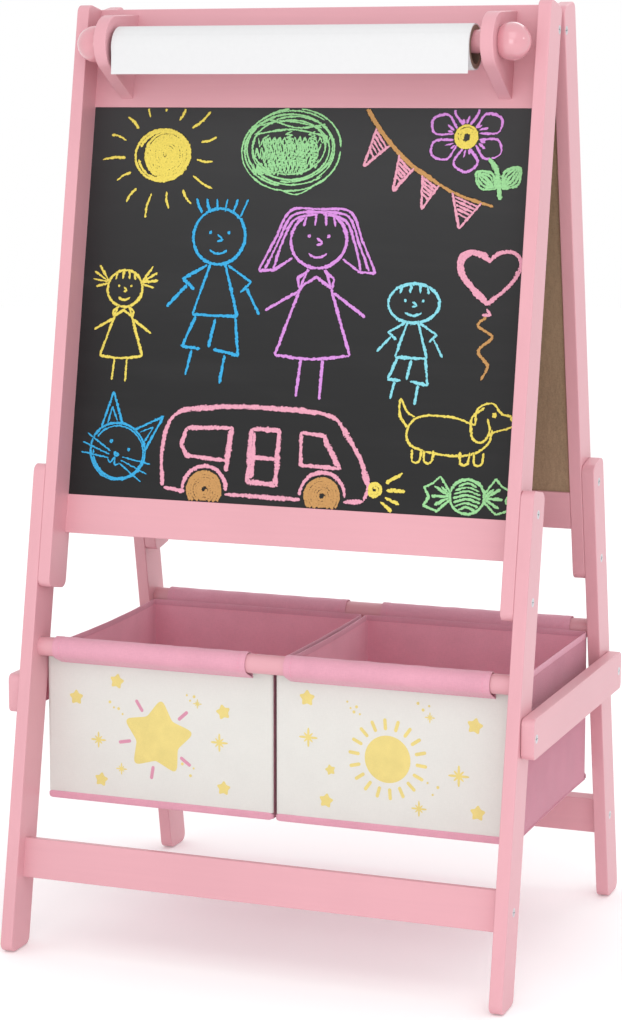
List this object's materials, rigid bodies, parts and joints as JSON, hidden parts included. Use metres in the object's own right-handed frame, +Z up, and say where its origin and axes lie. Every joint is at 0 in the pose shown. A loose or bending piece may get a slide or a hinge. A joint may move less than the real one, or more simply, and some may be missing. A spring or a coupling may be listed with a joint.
{
  "type": "children's double-sided easel",
  "caption": "Free-standing folding easel with a chalkboard, a whiteboard, a paper roll on a rod, side braces and cloth storage bins.",
  "frame": {"origin": "on the floor at the middle of the four feet, the bottom centre of the box", "axes": "+X to the viewer's right seen from the chalkboard side and along the hinge pins, +Y from the chalkboard side to the whiteboard side, +Z up"},
  "size_m": [0.6306, 0.4976, 1.0799],
  "materials": {
    "pink_painted_wood": "satin paint",
    "gloss_pink_wood": "gloss lacquer",
    "chalkboard_paint": "matte chalkboard paint on fibreboard",
    "whiteboard_lacquer": "gloss lacquer on fibreboard",
    "hardboard": "raw fibreboard",
    "bare_wood": "raw",
    "bin_cloth": "woven, stiffened",
    "paper": "matte paper",
    "cardboard": "grey-brown board tube",
    "zinc_screws": "zinc plated",
    "hinge_steel": "zinc plated",
    "brass_insert": "machined"
  },
  "bodies": {
    "front_frame": {"front_left_stile": "pink_painted_wood", "front_right_stile": "pink_painted_wood", "front_top_rail": "pink_painted_wood", "front_bottom_rail": "pink_painted_wood", "chalkboard": "chalkboard_paint", "front_backing_board": "hardboard", "front_left_leg": "pink_painted_wood", "front_right_leg": "pink_painted_wood", "front_lower_rail": "pink_painted_wood", "front_bin_rod": "pink_painted_wood", "front_hinge_leaves": "hinge_steel", "front_hinge_screws": "zinc_screws", "hinge_pins": "hinge_steel", "front_rail_screws": "zinc_screws", "front_rail_dowels": "bare_wood", "front_leg_screws": "zinc_screws", "front_lower_rail_screws": "zinc_screws", "front_brace_screws": "zinc_screws", "left_roll_bracket": "pink_painted_wood", "right_roll_bracket": "pink_painted_wood", "bracket_screws": "zinc_screws", "paper_tail": "paper", "left_bin": "bin_cloth", "right_bin": "bin_cloth"},
    "rear_frame": {"rear_left_stile": "pink_painted_wood", "rear_right_stile": "pink_painted_wood", "rear_top_rail": "pink_painted_wood", "rear_bottom_rail": "pink_painted_wood", "whiteboard": "whiteboard_lacquer", "rear_backing_board": "hardboard", "rear_left_leg": "pink_painted_wood", "rear_right_leg": "pink_painted_wood", "rear_lower_rail": "pink_painted_wood", "rear_bin_rod": "pink_painted_wood", "rear_hinge_leaves": "hinge_steel", "rear_hinge_screws": "zinc_screws", "rear_rail_screws": "zinc_screws", "rear_rail_dowels": "bare_wood", "rear_leg_screws": "zinc_screws", "rear_lower_rail_screws": "zinc_screws", "rear_brace_inserts": "brass_insert"},
    "left_brace": {"left_brace": "pink_painted_wood", "left_brace_rear_screw": "zinc_screws"},
    "right_brace": {"right_brace": "pink_painted_wood", "right_brace_rear_screw": "zinc_screws"},
    "paper_roll": {"paper_roll": "paper", "roll_core": "cardboard"},
    "roll_rod": {"roll_rod": "gloss_pink_wood", "left_knob": "gloss_pink_wood"},
    "right_knob": {"right_knob": "gloss_pink_wood"}
  },
  "joints": [
    {"name": "fold", "type": "hinge", "parent": "front_frame", "child": "rear_frame", "pos_m": [0, 0, 1.07013], "axis": [-1, 0, 0], "range_deg": [0, 21.2], "deforming": ["left_bin", "right_bin"]},
    {"name": "left_brace_swing", "type": "hinge", "parent": "front_frame", "child": "left_brace", "pos_m": [-0.3078, -0.1792, 0.29], "axis": [1, 0, 0], "range_deg": [0, 79.5]},
    {"name": "right_brace_swing", "type": "hinge", "parent": "front_frame", "child": "right_brace", "pos_m": [0.3078, -0.1792, 0.29], "axis": [1, 0, 0], "range_deg": [0, 79.5]},
    {"name": "roll_spin", "type": "hinge", "parent": "front_frame", "child": "paper_roll", "pos_m": [-0.005, -0.07627, 1.02886], "axis": [1, 0, 0], "continuous": true},
    {"name": "rod_spin", "type": "hinge", "parent": "front_frame", "child": "roll_rod", "pos_m": [0, -0.07627, 1.03446], "axis": [1, 0, 0], "continuous": true},
    {"name": "right_knob_pull", "type": "slide", "parent": "roll_rod", "child": "right_knob", "axis": [1, 0, 0], "range_m": [0, 0.0085]}
  ],
  "couplings": [
    {"joint": "left_brace_swing", "follows": "fold", "ratio": 3.7448},
    {"joint": "right_brace_swing", "follows": "fold", "ratio": 3.7448}
  ]
}
